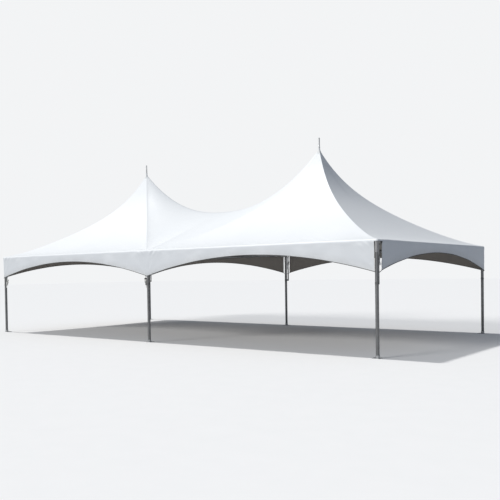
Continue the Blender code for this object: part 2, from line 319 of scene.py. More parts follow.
def fabric(name, colour, shade, dirt, roughness):
    finish = Finish(name, IOR=1.46, Specular_IOR_Level=0.4)
    x, y, z = finish.axes()
    from_mast = abs(x) - HALF_BAY
    hip = (abs(from_mast) - abs(y)) * 0.7071
    on_slope = abs(from_mast) < abs(y)
    along = on_slope * x + (1.0 - on_slope) * y
    weld = (along - ROLL_WIDTH / 2).repeat(ROLL_WIDTH).near(WELD_WIDTH / 2) > 0.02
    hip_weld = hip.near(WELD_WIDTH) > 0.02
    band = weld.maths("MAXIMUM", weld, hip_weld)
    large = finish.cloud(0.7, 3.0)
    fine = finish.cloud(9.0, 4.0)
    base = finish.mix(large, colour, shade)
    base = finish.mix(band * 0.2, base, shade)
    hem = finish.node("ShaderNodeAttribute", {"attribute_name": "hem"}, output="Fac")
    soil = hem.near(0.16) * fine * 0.5
    finish.paint("Base Color", finish.mix(soil, base, dirt))
    finish.paint("Roughness", roughness + 0.10 * fine)
    threads = x.wave(SCRIM) * z.wave(SCRIM) + y.wave(SCRIM) * z.wave(SCRIM)
    stitch = (hem - 0.024).near(0.0025)
    relief = 0.10 * threads + 0.4 * band + 0.8 * large - 1.2 * stitch
    finish.bump(relief, 0.0012)
    return finish.material


CANOPY_OUTSIDE = fabric("canopy_outside", (0.88, 0.90, 0.91), (0.82, 0.85, 0.87), (0.55, 0.54, 0.50), 0.42)
# The inside finish is painted shade: its dark taupe stands for the shadow under the roof.
CANOPY_INSIDE_PAINTED_SHADE = fabric("canopy_inside_painted_shade", (0.46, 0.41, 0.35), (0.40, 0.355, 0.30), (0.28, 0.255, 0.22), 0.6)
print("fabric finishes made")

# %% [markdown]
# ## Metal and webbing finishes
#
# The tubes are mill aluminium that has gone dull: long faint streaks along the tube, and small
# blotches of oxide. The fittings are cast, so their grain is finer and has no direction. The plates
# and cables are galvanised steel, whose zinc freezes in flat crystals. The webbing is woven from
# coarse yarn in a twill that shows as slanting ribs.


# %% Metal finishes
def tube_finish(name, streak_along, light=1.0):
    """Dull aluminium; the streaks run along the given axis, and the tones are scaled by light."""
    finish = Finish(name, Metallic=1.0)
    scale = [26.0, 26.0, 26.0]
    scale[streak_along] = 0.9
    streaks = finish.cloud(5.0, 4.0, finish.stretched(*scale))
    oxide = finish.cloud(14.0, 5.0)
    tones = [[light * value for value in tone] for tone in (
        (0.19, 0.195, 0.20), (0.29, 0.295, 0.30), (0.14, 0.14, 0.137))]
    base = finish.mix(streaks, tones[0], tones[1])
    finish.paint("Base Color", finish.mix(oxide * oxide, base, tones[2]))
    finish.paint("Roughness", 0.30 + 0.25 * oxide)
    finish.bump(streaks + 0.4 * oxide, 0.0003)
    return finish.material


def cast_finish(name, light, dark, grain, roughness):
    finish = Finish(name, Metallic=1.0)
    blotch = finish.cloud(grain / 6, 3.0)
    grains = finish.cloud(grain, 3.0)
    finish.paint("Base Color", finish.mix(blotch, light, dark))
    finish.paint("Roughness", roughness + 0.2 * grains)
    finish.bump(grains, 0.0008)
    return finish.material


def zinc_finish(name, light, dark):
    """Galvanised steel with its flat crystals."""
    finish = Finish(name, Metallic=1.0)
    crystal = finish.node(
        "ShaderNodeTexVoronoi", {"feature": "F1"}, {"Vector": finish.place(), "Scale": 90.0}, "Color")
    tone = finish.node("ShaderNodeSeparateColor", values={0: crystal})
    finish.paint("Base Color", finish.mix(tone, light, dark))
    finish.paint("Roughness", 0.38 + 0.18 * tone)
    finish.bump(finish.cloud(60.0, 3.0), 0.0004)
    return finish.material


TUBE_ALONG = [
    tube_finish("tube_along_x", 0), tube_finish("tube_along_y", 1), tube_finish("tube_along_z", 2, 0.85)]
MAST_TUBE = tube_finish("mast_tube", 2, 2.2)
FITTING = cast_finish("cast_fitting", (0.36, 0.365, 0.37), (0.25, 0.25, 0.255), 220.0, 0.42)
ZINC = zinc_finish("zinc_plate", (0.46, 0.47, 0.48), (0.33, 0.34, 0.345))
BOLT = zinc_finish("zinc_bolt", (0.62, 0.62, 0.60), (0.50, 0.50, 0.48))
# Black steel for the ratchet parts. The same black on the plate's hole discs is painted shade.
BLACK_STEEL_AND_HOLE_SHADE = cast_finish("black_steel_and_hole_shade", (0.035, 0.035, 0.035), (0.02, 0.02, 0.02), 160.0, 0.42)


# %% Cable, webbing and hem finishes
def cable_finish(name):
    """Wire rope: strands that wind round it, as slanting ribs."""
    finish = Finish(name, Metallic=1.0)
    x, y, z = finish.axes()
    ribs = (abs(x) + abs(y) * 0.8 + z * 2.2).wave(0.016)
    finish.paint("Base Color", finish.mix(0.5 + 0.5 * ribs, (0.22, 0.225, 0.23), (0.50, 0.51, 0.52)))
    finish.paint("Roughness", 0.35 + 0.15 * finish.cloud(40.0))
    finish.bump(ribs, 0.0004)
    return finish.material


def webbing_finish(name, light, dark):
    finish = Finish(name, Specular_IOR_Level=0.25)
    x, y, z = finish.axes()
    twill = (z + (x + y) * 0.9).wave(0.0042)
    slub = finish.cloud(120.0, 2.0)
    finish.paint("Base Color", finish.mix(slub, light, dark))
    finish.paint("Roughness", 0.72 + 0.15 * slub)
    finish.bump(twill + slub, 0.0007)
    return finish.material


CABLE = cable_finish("wire_rope")
WEBBING = webbing_finish("white_webbing", (0.84, 0.84, 0.81), (0.70, 0.70, 0.67))
GREY_WEBBING = webbing_finish("grey_webbing", (0.22, 0.22, 0.215), (0.15, 0.15, 0.148))
# The hem rope's dark grey is painted shade: the shadowed underside of the white rolled hem.
HEM_PAINTED_SHADE = webbing_finish("hem_painted_shade", (0.16, 0.16, 0.155), (0.10, 0.10, 0.10))
print("finishes:", len(bpy.data.materials))

# %% [markdown]
# ## Base plates
#
# The plates already have their shape, a flat square with a short socket for the leg, so they keep
# their solids and only get the zinc finish.

# %% Finish of the plates
for node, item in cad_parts.items():
    if node.startswith("base_plate_"):
        item.data.materials.clear()
        item.data.materials.append(ZINC)
print("plates dressed")

# %% [markdown]
# ## Making a piece
#
# Every new piece is made from vertices and faces, gets its material, and rides on the tent's one
# body. A piece that stands for a plain solid says so, and the solid is then hidden.


# %% Pieces from meshes
def add_piece(name, bm, materials, stands_for=(), angle=35):
    """Turn a mesh under construction into a piece of the tent."""
    mesh = bpy.data.meshes.new(name)
    bm.to_mesh(mesh)
    bm.free()
    for material in materials:
        mesh.materials.append(material)
    mesh.shade_smooth()
    mesh.set_sharp_from_angle(angle=math.radians(angle))
    piece = bpy.data.objects.new(name, mesh)
    bpy.context.scene.collection.objects.link(piece)
    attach(piece, "root")
    if stands_for:
        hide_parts(*stands_for)
    return piece


# %% [markdown]
# ## The canopy: one sheet from peak to hem
#
# On the real tent the roof and its valances are one piece of fabric: it hangs from the two mast
# rings, is stretched over the eave tubes and drops past them as the valance. So it is made as one
# mesh. The roof is a height over the plan, laid out as eight triangles round the masts so that
# edges run along the hips. Columns crowd towards the legs, because that is where the fabric
# puckers. Each point of the plan occurs once, so neighbouring triangles share their points.

# %% Layout of the roof
FOLD = 0.045                                  # radius of the fold over the eave
RING = 0.0135                                 # the fabric stops at this share of a half bay
ROWS = 40
COLUMNS = 88
ROW_POWER = 1.9                               # rows crowd towards the steep peak
CROWDING = 0.86                               # how far columns crowd towards the legs


def column_share(step):
    """Place of a column from 0 to 1, crowded at both ends."""
    share = step / COLUMNS
    return share - CROWDING * math.sin(2 * math.pi * share) / (2 * math.pi)


def reaches(inner):
    """Distances of the rows from the mast; an inner triangle goes on to the middle."""
    last = HALF_BAY - FOLD
    first = RING * HALF_BAY
    rows = [first + (last - first) * (step / ROWS) ** ROW_POWER for step in range(ROWS + 1)]
    return rows + [HALF_BAY] if inner else rows


# %% Roof points and faces
roof_points = []
roof_index = {}
faces = []
hips = set()


def roof_point(x, y):
    key = (round(x, 5), round(y, 5))
    if key not in roof_index:
        roof_index[key] = len(roof_points)
        roof_points.append(Vector((x, y, canopy_height(x, y))))
    return roof_index[key]


def add_triangle(mast_x, way):
    """One triangle of the roof, from the mast towards way, hip to hip."""
    inner = way[0] * mast_x < 0
    grid = []
    for reach in reaches(inner):
        half = min(reach, HALF_BAY - FOLD)
        row = []
        for step in range(COLUMNS + 1):
            side = half * (2 * column_share(step) - 1)
            x = mast_x + way[0] * reach - way[1] * side
            y = way[1] * reach + way[0] * side
            row.append(roof_point(x, y))
        grid.append(row)
    for upper, lower in zip(grid, grid[1:]):
        for a in range(COLUMNS):
            faces.append((upper[a], lower[a], lower[a + 1], upper[a + 1]))
        hips.update({frozenset((upper[0], lower[0])), frozenset((upper[-1], lower[-1]))})
    return grid


rims = {way: [] for way in ((1, 0), (0, 1), (-1, 0), (0, -1))}
for mast_x in (-MAST_X, MAST_X):
    for way in rims:
        grid = add_triangle(mast_x, way)
        if way[0] * mast_x >= 0:
            rims[way].append(grid[-1])
rims[0, 1].reverse()
print("roof points", len(roof_points), "faces", len(faces))

# %% [markdown]
# Tension pulls fine wrinkles into the roof. They fan out from each leg and die away within a metre
# or so. Their crests are a few millimetres high, so they show only where light grazes them.

# %% Wrinkles of the roof
FAN_HEIGHT = 0.0045
FAN_RAYS = 17
FAN_FADE = 0.75
corner_spots = [Vector((sx * HALF_LENGTH, sy * HALF_WIDTH, 0)) for sx in (-1, 0, 1) for sy in (-1, 1)]
fan_phase = [random.uniform(0, 6.28) for spot in corner_spots]
for point in roof_points:
    lift = 0.0
    for spot, phase in zip(corner_spots, fan_phase):
        dx, dy = point.x - spot.x, point.y - spot.y
        far = math.hypot(dx, dy)
        if far < 3.0:
            rays = math.sin(FAN_RAYS * math.atan2(dy, dx) + phase + 1.3 * math.sin(2.1 * far))
            lift += FAN_HEIGHT * rays * math.exp(-far / FAN_FADE) * smooth(far, 0.05, 0.45)
    point.z += lift


# %% [markdown]
# ## Fold and valance
#
# Round the edge of the roof goes a list of columns. Each column starts at a point of the roof's
# rim, turns down through a quarter circle over the eave tube and drops to the hem. At a closed
# corner the columns fan round it. Slits are columns whose faces are left out below the fold: the
# photograph shows one at the near corner, one at the far middle leg and one at the far left corner.

# %% Columns round the eave
FOLD_STEPS = 8
DROP_STEPS = 16
CORNER_STEPS = 6
columns = []


def add_column(point, outward, share, run):
    """share: place in the bay, -1 to 1; run: distance from the nearest leg, with its sign."""
    columns.append({"at": point, "out": outward, "share": share, "run": run})


def add_side(outward, bays):
    """The columns of one side, from its left end to its right end as seen from outside."""
    for bay, rim in enumerate(bays):
        for step, point in enumerate(rim):
            share = (2 * column_share(step) - 1) * (1 - FOLD / HALF_BAY)
            run = (1 - abs(share)) * HALF_BAY * (-1 if share > 0 else 1)
            add_column(point, outward, share, run)
        if bay < len(bays) - 1:
            spot = outward * (HALF_WIDTH - FOLD)
            middle = min(range(len(roof_points)), key=lambda i: (roof_points[i].xy - spot.xy).length)
            add_column(middle, outward, 1.0, 0.0)


def add_corner(point, first, then):
    """Columns that fan round a corner, all from one point of the roof."""
    for step in range(1, CORNER_STEPS):
        turn = math.pi / 2 * step / CORNER_STEPS
        add_column(point, first * math.cos(turn) + then * math.sin(turn), 1.0, 0.0)


ROUND_THE_TENT = ((0, -1), (1, 0), (0, 1), (-1, 0))
for order, way in enumerate(ROUND_THE_TENT):
    outward = Vector((*way, 0))
    add_side(outward, rims[way])
    add_corner(rims[way][-1][-1], outward, Vector((*ROUND_THE_TENT[(order + 1) % 4], 0)))
print("columns", len(columns))

# %% [markdown]
# The valance is not flat. The wider sleeves of the fittings lift it beside each leg, puckers start
# at the fold there, the fold itself ripples a little all along its tube, long soft waves run along
# the bay, and creases fan up from the tip where the strap pulls. All of it is one outward offset
# that depends on where the point lies.

# %% Relief of the valance
SLEEVE_LIFT = 0.005
SLEEVE_REACH = 0.20
PUCKER = 0.020
RIPPLE = 0.007
WAVE = 0.007
TIP_CREASE = 0.006
wave_phase = random.uniform(0, 6.28)


def valance_offset(run, travel, depth, total):
    """How far a point stands out; depth below the eave, total down to the hem."""
    near = abs(run)
    lift = SLEEVE_LIFT * (1 - smooth(near, SLEEVE_REACH - 0.05, SLEEVE_REACH + 0.03))
    lift *= 1 - smooth(depth, 0.05, 0.16)
    gather = math.exp(-(near / 0.42) ** 2) * math.exp(-((depth - 0.06) / 0.09) ** 2)
    gather *= smooth(near, 0.03, 0.20)
    pucker = PUCKER * gather * (0.5 + 0.5 * math.sin(2 * math.pi * (near + 0.9 * depth) / 0.15))
    fold_near = math.exp(-((depth - 0.05) / 0.055) ** 2)
    ripple = RIPPLE * fold_near * math.sin(13.0 * travel + 2.0 * math.sin(1.9 * travel)) * math.sin(3.1 * travel)
    free = smooth(depth, 0.06, 0.30) * smooth(near, 0.1, 1.2)
    wave = WAVE * free * math.sin(2 * math.pi * travel / 0.93 + wave_phase + 0.7 * math.sin(travel * 1.7))
    from_tip = max(VALANCE_TIP - depth, 0.001)
    fan = math.sin(13 * math.atan2(run, from_tip) + wave_phase)
    crease = TIP_CREASE * fan * math.exp(-math.hypot(near, from_tip) / 0.38) * smooth(depth, 0.08, 0.2)
    tuck = -0.010 * smooth(depth / total, 0.55, 1.0) * math.exp(-(near / 0.5) ** 2)
    return lift + pucker + ripple + wave + crease + max(tuck, -0.004)


# %% Fold and valance points
MIDDLE_SLIT = 0.100                           # half width of the slit at the back middle leg
SLITS = {                                     # distance of each cut edge from its corner
    ("front", 1): 0.070,
    ("right", -1): 0.150,
    ("back", 1): 0.150,
    ("left", -1): 0.100,
}
strip = []
hem_gap = {}
travel = 0.0
for order, column in enumerate(columns):
    base, outward = roof_points[column["at"]], column["out"]
    total = valance_depth(column["share"])
    if order:
        travel += (base - roof_points[columns[order - 1]["at"]]).length
    points = [column["at"]]
    for step in range(1, FOLD_STEPS + 1):
        turn = math.pi / 2 * step / FOLD_STEPS
        depth = base.z - FOLD * (1 - math.cos(turn))
        offset = valance_offset(column["run"], travel, EAVE - depth, total) * math.sin(turn)
        point = base + outward * (FOLD * math.sin(turn) + offset)
        point.z = depth
        points.append(len(roof_points))
        roof_points.append(point)
    start = base.z - FOLD
    for step in range(1, DROP_STEPS + 1):
        height = start + (EAVE - total - start) * (step / DROP_STEPS) ** 1.25
        offset = valance_offset(column["run"], travel, EAVE - height, total)
        point = base + outward * (FOLD + offset)
        point.z = height
        hem_gap[len(roof_points)] = height - EAVE + total
        points.append(len(roof_points))
        roof_points.append(point)
    strip.append(points)
print("perimeter", round(travel, 2), "m")


# %% Slits
def side_of(column):
    names = {(0, -1): "front", (1, 0): "right", (0, 1): "back", (-1, 0): "left"}
    return names.get((round(column["out"].x), round(column["out"].y)))


def corner_distance(column):
    """Distance of a column from the corner at each end of its side, outer faces."""
    point, outward = roof_points[column["at"]], column["out"]
    along = Vector((-outward.y, outward.x, 0))
    half = HALF_LENGTH if abs(outward.y) > 0.5 else HALF_WIDTH
    run = point.dot(along)
    return half + run, half - run


def is_cut(column):
    """Whether the fabric is open at this column, below the fold."""
    outward = column["out"]
    if max(abs(outward.x), abs(outward.y)) < 0.999:
        return outward.x * outward.y < 0
    side = side_of(column)
    to_first, to_last = corner_distance(column)
    if to_first < SLITS.get((side, -1), 0) or to_last < SLITS.get((side, 1), 0):
        return True
    return side == "back" and abs(roof_points[column["at"]].x) < MIDDLE_SLIT


cut = [is_cut(column) for column in columns]
for order, (here, there) in enumerate(zip(strip, strip[1:] + strip[:1])):
    open_here = cut[order] or cut[(order + 1) % len(strip)]
    for a in range(FOLD_STEPS + DROP_STEPS):
        if a >= FOLD_STEPS and open_here:
            continue
        corners = (here[a], here[a + 1], there[a + 1], there[a])
        face = tuple(dict.fromkeys(corners))
        if len(face) > 2:
            faces.append(face)
print("cut columns", sum(cut), "faces", len(faces))

# %% Canopy sheet
FABRIC_THICKNESS = 0.0025
CREASE = math.radians(9)                      # a hip is crisp only where it folds more than this

canopy_mesh = bpy.data.meshes.new("canopy")
canopy_mesh.from_pydata(roof_points, [], faces)
canopy_mesh.materials.append(CANOPY_OUTSIDE)
canopy_mesh.materials.append(CANOPY_INSIDE_PAINTED_SHADE)
hem_attribute = canopy_mesh.attributes.new("hem", "FLOAT", "POINT")
hem_attribute.data.foreach_set("value", [hem_gap.get(i, 1.0) for i in range(len(roof_points))])
build = bmesh.new()
build.from_mesh(canopy_mesh)
for edge in build.edges:
    ends = frozenset(vertex.index for vertex in edge.verts)
    edge.smooth = not (edge.is_boundary or ends in hips and edge.calc_face_angle(0) > CREASE)
loose = [vertex for vertex in build.verts if not vertex.link_faces]
bmesh.ops.delete(build, geom=loose, context="VERTS")
torn = sum(1 for edge in build.edges if len(edge.link_faces) > 1 and not edge.is_contiguous)
rim_length = sum(edge.calc_length() for edge in build.edges if edge.is_boundary)
print("edges with unlike sides", torn, "free edge", round(rim_length, 2), "m")
for face in build.faces:
    face.smooth = True
build.to_mesh(canopy_mesh)
build.free()
canopy_raw = bpy.data.objects.new("canopy_raw", canopy_mesh)
bpy.context.scene.collection.objects.link(canopy_raw)
thicken = canopy_raw.modifiers.new("thickness", "SOLIDIFY")
thicken.thickness = FABRIC_THICKNESS
thicken.offset = -1
# The inner shell takes the inside finish, which is painted shade.
thicken.material_offset = 1
thicken.material_offset_rim = 0
bpy.context.view_layer.update()
depsgraph = bpy.context.evaluated_depsgraph_get()
sheet_mesh = bpy.data.meshes.new_from_object(canopy_raw.evaluated_get(depsgraph))
sheet_mesh.name = "canopy"
bpy.data.objects.remove(canopy_raw, do_unlink=True)
canopy = bpy.data.objects.new("canopy", sheet_mesh)
bpy.context.scene.collection.objects.link(canopy)
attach(canopy, "root")
CANOPY_NODES = [
    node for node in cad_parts
    if node.startswith(("canopy_", "valance_"))
]
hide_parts(*CANOPY_NODES)
print("canopy triangles", sum(len(p.vertices) - 2 for p in sheet_mesh.polygons))


# %% [markdown]
# ## Hem
#
# The valance ends in a rolled hem with a rope in it. The rope is dark grey: painted shade for the
# shadowed underside of the white hem, which shows as a thin dark line along each arch. Where the
# fabric is slit the rope runs on round the leg and ties the two edges together, and the cut edges
# themselves are piped. Ropes, tapes, plates and turned parts are all skins between rings of points,
# so one helper joins rings and the others only lay them out.


# %% Skins between rings
def loft(bm, rings, closed=False, material=0):
    """Join rings of points into a skin, with both ends filled unless it closes on itself."""
    verts = [[bm.verts.new(point) for point in ring] for ring in rings]
    pairs = list(zip(verts, verts[1:])) + ([(verts[-1], verts[0])] if closed else [])
    skin = []
    for here, there in pairs:
        for k in range(len(here)):
            after = (k + 1) % len(here)
            skin.append(bm.faces.new((here[k], here[after], there[after], there[k])))
    if not closed:
        skin.append(bm.faces.new(list(reversed(verts[0]))))
        skin.append(bm.faces.new(verts[-1]))
    for face in skin:
        face.material_index = material


def directions(points, closed):
    """The way along the points at each of them."""
    last = len(points) - 1
    ways = []
    for order in range(len(points)):
        before = points[order - 1] if order or closed else points[0]
        after = points[(order + 1) % len(points)] if order < last or closed else points[last]
        ways.append((after - before).normalized())
    return ways


def sweep(bm, points, radius, sides=8, closed=False, material=0):
    """A round rope or bar along the points; radius may be a list, one for each point."""
    points = [Vector(point) for point in points]
    radii = radius if isinstance(radius, list) else [radius] * len(points)
    rings = []
    side = None
    for point, way, radius in zip(points, directions(points, closed), radii):
        side = side or way.orthogonal()
        side = (side - way * side.dot(way)).normalized()
        other = way.cross(side)
        turns = [2 * math.pi * k / sides for k in range(sides)]
        rings.append([point + radius * (side * math.cos(a) + other * math.sin(a)) for a in turns])
    loft(bm, rings, closed, material)


def ribbon(bm, points, width, thickness=0.0028, closed=False, material=0):
    """A flat tape along the points; width is the vector from edge to edge."""
    points = [Vector(point) for point in points]
    rings = []
    for point, way in zip(points, directions(points, closed)):
        half = way.cross(width).normalized() * thickness / 2
        edge = width / 2
        rings.append([point - edge - half, point + edge - half, point + edge + half, point - edge + half])
    loft(bm, rings, closed, material)


def prism(bm, outline, depth, material=0):
    """A flat outline pushed along depth."""
    loft(bm, [outline, [point + depth for point in outline]], material=material)


def disc(centre, across, up, radius, sides=20, tooth=0.0):
    """Outline of a disc, or of a toothed wheel where tooth is more than 0."""
    turns = [2 * math.pi * k / sides for k in range(sides)]
    return [
        centre + (across * math.cos(a) + up * math.sin(a)) * radius * (1 + tooth * (-1) ** k)
        for k, a in enumerate(turns)
    ]


def closed_skins(bm):
    """Turn every face outwards; the pieces in the mesh are all closed."""
    bmesh.ops.recalc_face_normals(bm, faces=bm.faces)
    return bm


# %% Hem rope
HEM_RADIUS = 0.0065
ROPE_SAG = 0.030


def slit_arc(start, end, leg):
    """The rope between two cut edges, round the outside of a leg."""
    middle = (start + end) / 2
    away = (middle - Vector((leg.x, leg.y, middle.z))).normalized()
    arc = []
    for step in range(1, 8):
        share = step / 8
        belly = math.sin(math.pi * share)
        point = start.lerp(end, share) + away * 0.016 * belly
        point.z -= ROPE_SAG * belly
        arc.append(point)
    return arc


hem_line = []
cut_edges = []
order = 0
while order < len(strip):
    if cut[order]:
        start = order
        while order < len(strip) and cut[order]:
            order += 1
        last, first = strip[start - 1], strip[order % len(strip)]
        cut_edges += [last, first]
        before, after = roof_points[last[-1]], roof_points[first[-1]]
        leg = min(LEGS.values(), key=lambda spot: (Vector((before.x, before.y, 0)) - spot).length)
        hem_line += slit_arc(before, after, leg)
    else:
        hem_line.append(roof_points[strip[order][-1]])
        order += 1
hem_points = [hem_line[0]]
for point in hem_line[1:]:
    if (point - hem_points[-1]).length > 0.012:
        hem_points.append(point)
hem_mesh = bmesh.new()
# The dark hem rope is painted shade along each arch.
sweep(hem_mesh, hem_points, HEM_RADIUS, sides=8, closed=True)
for edge in cut_edges:
    sweep(hem_mesh, [roof_points[i] for i in edge[FOLD_STEPS:]], 0.0045, sides=8, material=1)
hem = add_piece("valance_hem", closed_skins(hem_mesh), [HEM_PAINTED_SHADE, WEBBING])
print("hem points", len(hem_points), "cut edges", len(cut_edges))

# %% [markdown]
# How large is the cloth? Its flat size is the longest way over it in each direction, hem to hem:
# down both slopes and both valances, and along the ridge from end to end. The area is the mesh's
# own. Here only the roof's part of these ways is laid out as points: across the roof at a peak, and
# along the ridge.


STEPS = 400
over_ridge = [Vector((x, 0, canopy_height(x, 0))) for x in
              (HALF_LENGTH * (2 * step / STEPS - 1) for step in range(STEPS + 1))]
over_peak = [Vector((0, y, canopy_height(MAST_X, y))) for y in
             (HALF_WIDTH * (2 * step / STEPS - 1) for step in range(STEPS + 1))]

# %% [markdown]
# ## Masts
#
# Where a mast passes through the fabric, a short boot of the same fabric closes the gap and a
# clamp band holds it to the pole. The foot of the mast stands in a socket on the hub, and a nut
# under the hub keeps it there.


# %% Turned pieces
def lathe(bm, centre, profile, closed=False, sides=24, material=0):
    """A turned body round a vertical axis from (radius, height) points."""
    up = Vector((0, 0, 1))
    loft(bm, [
        disc(centre + up * height, Vector((1, 0, 0)), Vector((0, 1, 0)), radius, sides)
        for radius, height in profile
    ], closed, material)


def bolt(bm, head, way, radius=0.011, material=0):
    """Hexagon head on a washer; head is where it meets the part."""
    across = way.orthogonal().normalized()
    up = way.cross(across)
    prism(bm, disc(head, across, up, radius * 1.6), way * 0.0025, material)
    prism(bm, disc(head + way * 0.0025, across, up, radius, 6), way * 0.0075, material)


# %% Masts, clamps and mast feet
MAST_RADIUS = 0.024
TIP_RADIUS = 0.019
MAST_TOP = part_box("mast_left")[1].z
HUB_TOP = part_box("mast_left")[0].z
NECK = TIP_RADIUS + 0.002                     # inside of boot and clamp
up = Vector((0, 0, 1))
for side, mast_x in (("left", -MAST_X), ("right", MAST_X)):
    foot = Vector((mast_x, 0, 0))
    pole = bmesh.new()
    outline = [
        (0.007, MAST_TOP), (0.015, MAST_TOP - 0.004), (TIP_RADIUS, MAST_TOP - 0.014),
        (TIP_RADIUS, APEX - 0.060), (MAST_RADIUS, APEX - 0.080), (MAST_RADIUS, HUB_TOP)]
    lathe(pole, foot, outline, sides=32)
    add_piece("pole_" + side, closed_skins(pole), [MAST_TUBE], ["mast_" + side])
    clamp = bmesh.new()
    band = [(0.0005, 0.048), (0.004, 0.047), (0.004, 0.037), (0.0005, 0.036)]
    lathe(clamp, foot, [(NECK + r, APEX + h) for r, h in band], closed=True)
    sweep(clamp, [foot + Vector((x, NECK + 0.006, APEX + 0.042)) for x in (-0.012, 0.012)], 0.0042)
    add_piece("mast_clamp_" + side, closed_skins(clamp), [BOLT])
    socket = bmesh.new()
    outline = [
        (0.0245, 0.0), (0.052, 0.0), (0.052, 0.006), (0.032, 0.009), (0.032, 0.080),
        (0.030, 0.082), (0.0245, 0.082)]
    lathe(socket, foot, [(r, HUB_TOP + h) for r, h in outline], closed=True)
    bolt(socket, foot + Vector((0, -0.032, HUB_TOP + 0.055)), Vector((0, -1, 0)), 0.008)
    bolt(socket, foot + up * (HUB_TOP - 0.036), -up, 0.019)
    add_piece("mast_socket_" + side, closed_skins(socket), [FITTING])

# %% [markdown]
# The boot is round at the pole and square at the foot, because the four slopes meet there like a
# pyramid. Each ring of it is a circle pulled out towards a square, and the lowest ring takes its
# height from the fabric, so the boot lies on it.

# %% Boots
BOOT_FOOT = 0.056


def boot_ring(centre, size, height, square):
    ring = []
    for k in range(32):
        turn = 2 * math.pi * (k + 0.5) / 32
        pull = 1 / max(abs(math.cos(turn)), abs(math.sin(turn)))
        reach = size * (1 + square * (pull - 1))
        ring.append(centre + Vector((reach * math.cos(turn), reach * math.sin(turn), height)))
    return ring


foot_height = canopy_height(MAST_X + BOOT_FOOT, 0) + 0.004
for side, mast_x in (("left", -MAST_X), ("right", MAST_X)):
    foot = Vector((mast_x, 0, 0))
    outline = [
        (NECK + 0.001, APEX + 0.062, 0), (NECK + 0.001, APEX + 0.020, 0),
        (NECK + 0.003, APEX - 0.015, 0.15), (0.033, APEX - 0.062, 0.6), (BOOT_FOOT, foot_height, 1)]
    skin = [boot_ring(foot, size, height, square) for size, height, square in outline]
    skin += [boot_ring(foot, size - 0.002, height - 0.001, square) for size, height, square in reversed(outline)]
    boot = bmesh.new()
    loft(boot, skin, closed=True)
    add_piece("mast_boot_" + side, closed_skins(boot), [CANOPY_OUTSIDE])
print("masts, boots and sockets made")

# %% [markdown]
# ## Cables and hubs
#
# Four taut cables from the eave fittings carry each hub, and the mast stands on it. At the fitting
# end a fork closes round the lug with a pin through it, and a turnbuckle between fork and cable
# sets the tension. At the hub each cable comes out of a pressed ferrule.

# %% Cables with forks, turnbuckles and ferrules
TUBE_RADIUS = 0.035
LUG_REACH = 0.110
LUG_DROP = 0.030
HUB_RADIUS = 0.070
HUB_THICKNESS = 0.036
FERRULE = 0.060
ROPE, CAST, PRESSED = 0, 1, 2


def cable(bm, lug_end, hub_rim):
    """One cable from a lug of an eave fitting to the rim of the hub."""
    way = (hub_rim - lug_end).normalized()
    flank = way.cross(up).normalized()
    lift = flank.cross(way)
    for cheek in (-1, 1):
        plate = [lug_end + way * a + lift * b + flank * cheek * 0.0075 for a, b in (
            (-0.030, -0.008), (-0.024, -0.012), (0.030, -0.010), (0.040, -0.006),
            (0.040, 0.006), (0.030, 0.010), (-0.024, 0.012), (-0.030, 0.008))]
        prism(bm, plate, flank * cheek * 0.004, PRESSED)
        bolt(bm, lug_end - way * 0.016 + flank * cheek * 0.0115, flank * cheek, 0.007, PRESSED)
        side_bar = ((0.062, 0.004), (0.072, 0.011), (0.180, 0.011), (0.190, 0.004))
        sweep(bm, [lug_end + way * a + flank * cheek * b for a, b in side_bar], 0.0042, material=PRESSED)
    sweep(bm, [lug_end + way * a for a in (0.030, 0.034, 0.075)], 0.0075, 12, material=PRESSED)
    sweep(bm, [lug_end + way * a for a in (0.172, 0.176, 0.250)], 0.0072, 12, material=PRESSED)
    sweep(bm, [lug_end + way * 0.24, hub_rim - way * 0.01], 0.0045, 10, material=ROPE)
    sweep(bm, [hub_rim - way * FERRULE, hub_rim], 0.0085, 12, material=PRESSED)


for side, mast_x in (("left", -MAST_X), ("right", MAST_X)):
    bm = bmesh.new()
    foot = Vector((mast_x, 0, HUB_TOP))
    outline = [
        (HUB_RADIUS - 0.004, 0), (HUB_RADIUS, -0.004), (HUB_RADIUS, 0.004 - HUB_THICKNESS),
        (HUB_RADIUS - 0.004, -HUB_THICKNESS)]
    lathe(bm, foot, outline, sides=40, material=CAST)
    for leg in LEGS.values():
        if abs(leg.x - mast_x) < HALF_BAY + TUBE_RADIUS:
            lug = Vector((math.copysign(1, mast_x - leg.x), math.copysign(1, -leg.y), 0)).normalized()
            level = Vector((mast_x - leg.x, -leg.y, 0)).normalized()
            lug_end = leg + lug * LUG_REACH + up * (TUBE_Z - LUG_DROP)
            cable(bm, lug_end, foot - level * HUB_RADIUS - up * HUB_THICKNESS / 2)
    name = "mast_cables_" + side
    add_piece("rigging_" + side, closed_skins(bm), [CABLE, FITTING, BOLT], [name])
print("rigging made")

# %% [markdown]
# ## Tubes and eave fittings
#
# Legs and eave tubes are round aluminium tube; their ends and sizes come from the solids. The
# fittings are short sleeves welded together at a rounded knuckle, and each sleeve has a slightly
# thicker lip where the tube goes in. The lugs that take the cables point at the masts.

# %% Tubes
def rounded(bm, start, end, radius, chamfer=0.0015):
    """A round bar with a small chamfer at both ends."""
    step = (end - start).normalized() * chamfer
    radii = [radius - chamfer, radius, radius, radius - chamfer]
    sweep(bm, [start, start + step, end - step, end], radii, 32)


for node in list(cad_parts):
    if node.startswith(("leg_", "eave_tube_", "middle_cross_")):
        low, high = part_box(node)
        size = high - low
        axis = max(range(3), key=lambda order: size[order])
        half = Vector([size[axis] / 2 if order == axis else 0 for order in range(3)])
        tube = bmesh.new()
        rounded(tube, (low + high) / 2 - half, (low + high) / 2 + half, TUBE_RADIUS)
        add_piece("round_" + node, closed_skins(tube), [TUBE_ALONG[axis]], [node])
print("tubes made")

# %% Eave fittings
SLEEVE_RADIUS = 0.041
LIP = 0.0011
KNUCKLE = 0.0408

